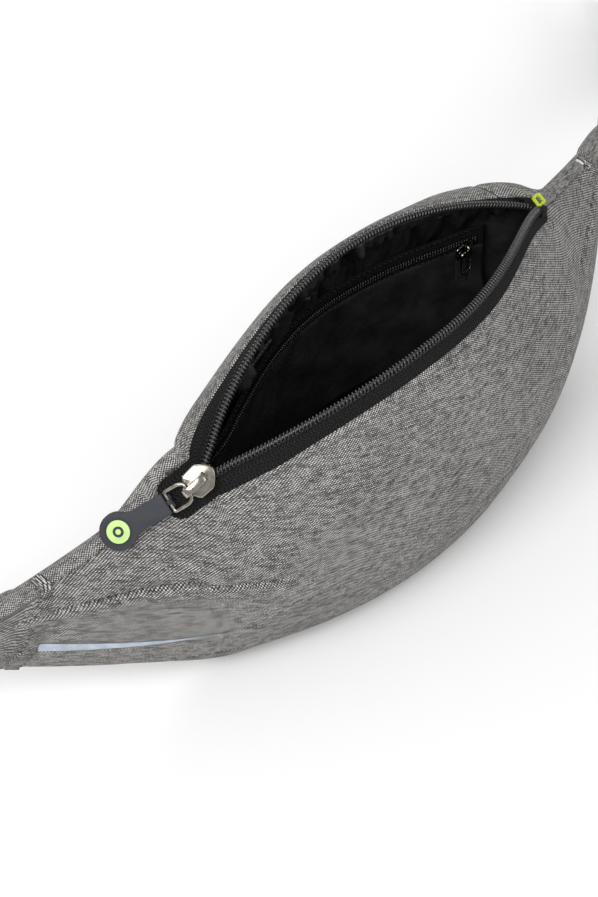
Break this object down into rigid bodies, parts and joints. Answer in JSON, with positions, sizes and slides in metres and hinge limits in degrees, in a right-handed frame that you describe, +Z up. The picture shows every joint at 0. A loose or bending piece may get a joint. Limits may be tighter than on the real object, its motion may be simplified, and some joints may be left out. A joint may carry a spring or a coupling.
{
  "type": "waist bag",
  "caption": "Grey woven waist bag with an open curved zip mouth, a black lining with an inner zip pocket, tapering side wings and a webbing belt with a side-release buckle.",
  "frame": {"origin": "middle of the bag's flat base, on the floor", "axes": "+X along the bag towards the zip's closed end, +Y towards the wearer's back, +Z up"},
  "size_m": [0.6182, 0.2032, 0.1422],
  "materials": {
    "fabric_grey": "heather plain weave",
    "mesh_black": "spacer mesh",
    "reflective": "satin reflective film",
    "tape_black": "herringbone tape",
    "coil_black": "glossy nylon coil",
    "accent_yellow": "woven thread",
    "nickel": "warm nickel plate",
    "rubber_slate": "matt moulded rubber",
    "accent_green": "matt printed rubber",
    "lining_black": "light polyester lining",
    "label_black": "satin label",
    "webbing_black": "ribbed webbing",
    "plastic_black": "fine moulded grain"
  },
  "bodies": {
    "bag": {"front_panel": "fabric_grey", "lower_band": "fabric_grey", "bottom_panel": "fabric_grey", "back_panel": "fabric_grey", "top_panel_main": "fabric_grey", "top_panel_end": "fabric_grey", "back_pad": "mesh_black", "wing_left": "fabric_grey", "wing_right": "fabric_grey", "binding_left": "fabric_grey", "binding_right": "fabric_grey", "reflective_strip": "reflective", "zip_tape_front": "tape_black", "zip_tape_back": "tape_black", "zip_coil_front": "coil_black", "zip_coil_back": "coil_black", "zip_end_tab": "tape_black", "end_tab_mark": "accent_yellow", "lining_front": "lining_black", "lining_base": "lining_black", "lining_back": "lining_black", "inner_binding": "tape_black", "pocket_panel": "lining_black", "pocket_zip_tape": "tape_black", "pocket_zip_coil": "coil_black", "blank_label": "label_black", "webbing_left": "webbing_black", "webbing_right": "webbing_black", "web_keeper": "webbing_black", "web_tail": "webbing_black"},
    "slider": {"slider_body": "nickel"},
    "pull": {"pull_frame": "nickel"},
    "rubber": {"rubber_pull": "rubber_slate", "pull_disc": "accent_green"},
    "pocket_slider": {"pocket_slider": "nickel"},
    "pocket_pull": {"pocket_pull": "nickel"},
    "plug": {"buckle_plug": "plastic_black"},
    "socket": {"buckle_socket": "plastic_black"}
  },
  "joints": [
    {"name": "main_zip_slide", "type": "slide", "parent": "bag", "child": "slider", "axis": [1, 0, 0], "range_m": [0, 0.18], "deforming": ["zip_tape_back", "zip_coil_back", "lining_back", "zip_tape_front", "zip_coil_front", "lining_front", "back_panel", "top_panel_main", "back_pad", "pocket_panel", "pocket_zip_tape", "pocket_zip_coil"]},
    {"name": "main_pull_swing", "type": "hinge", "parent": "slider", "child": "pull", "pos_m": [-0.10479, -0.00156, 0.11306], "axis": [-0.0716, -0.7681, -0.6362], "range_deg": [-120, 0]},
    {"name": "rubber_swing", "type": "hinge", "parent": "pull", "child": "rubber", "pos_m": [-0.11087, 0.00246, 0.10889], "axis": [-0.0716, -0.7681, -0.6362], "range_deg": [-90, 0]},
    {"name": "pocket_zip_slide", "type": "slide", "parent": "bag", "child": "pocket_slider", "axis": [-1, 0, 0], "range_m": [0, 0.1]},
    {"name": "pocket_pull_swing", "type": "hinge", "parent": "pocket_slider", "child": "pocket_pull", "pos_m": [0.073, 0.01869, 0.094], "axis": [1, 0, 0], "range_deg": [-80, 0]},
    {"name": "socket_swing", "type": "hinge", "parent": "bag", "child": "socket", "pos_m": [-0.25304, 0.0757, 0.03825], "axis": [0, 0, 1], "range_deg": [-30, 30]},
    {"name": "plug_swing", "type": "hinge", "parent": "bag", "child": "plug", "pos_m": [0.30351, 0.11945, 0.0166], "axis": [0, 0, 1], "range_deg": [-30, 30]}
  ]
}
